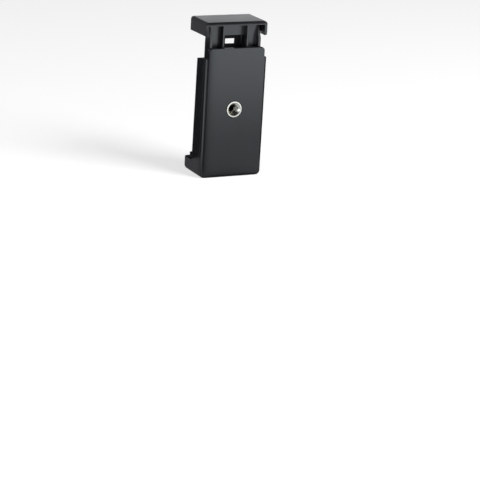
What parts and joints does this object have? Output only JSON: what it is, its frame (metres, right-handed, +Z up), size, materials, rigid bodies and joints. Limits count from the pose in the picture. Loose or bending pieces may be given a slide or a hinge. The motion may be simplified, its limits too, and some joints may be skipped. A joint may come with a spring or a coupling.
{
  "type": "tripod phone mount adapter",
  "caption": "Spring-loaded phone clamp for a tripod: housing with a lower jaw, sliding upper jaw, and quarter-inch thread inserts in the base and the rear.",
  "frame": {"origin": "centre of the base face, on the axis of the base thread insert", "axes": "+Z up from the base to the upper jaw, +Y from the rear cover towards the phone, +X to the right as seen from behind"},
  "size_m": [0.0352, 0.0232, 0.0833],
  "materials": {
    "black_plastic": "fine satin mould finish, black",
    "black_rubber": "matt moulded rubber, black",
    "insert_nickel": "nickel-plated brass, turned",
    "screw_steel": "zinc-plated steel",
    "spring_steel": "drawn spring wire and ground pins"
  },
  "bodies": {
    "housing": {"front_shell": "black_plastic", "rear_cover": "black_plastic", "rear_thread_insert": "insert_nickel", "base_thread_insert": "insert_nickel", "lower_jaw_pad": "black_rubber", "front_pad": "black_rubber", "cover_screw_upper": "screw_steel", "cover_screw_lower_left": "screw_steel", "cover_screw_lower_right": "screw_steel", "spring_pin_lower_left": "spring_steel", "spring_pin_lower_right": "spring_steel", "closing_spring_left": "spring_steel", "closing_spring_right": "spring_steel"},
    "jaw": {"sliding_jaw": "black_plastic", "upper_jaw_pad": "black_rubber", "spring_pin_upper_left": "spring_steel", "spring_pin_upper_right": "spring_steel"}
  },
  "joints": [
    {"name": "jaw_slide", "type": "slide", "parent": "housing", "child": "jaw", "axis": [0, 0, 1], "range_m": [-0.0111, 0.019], "stiffness_N_per_m": 250, "springref_m": -0.03, "deforming": ["closing_spring_left", "closing_spring_right"]}
  ]
}
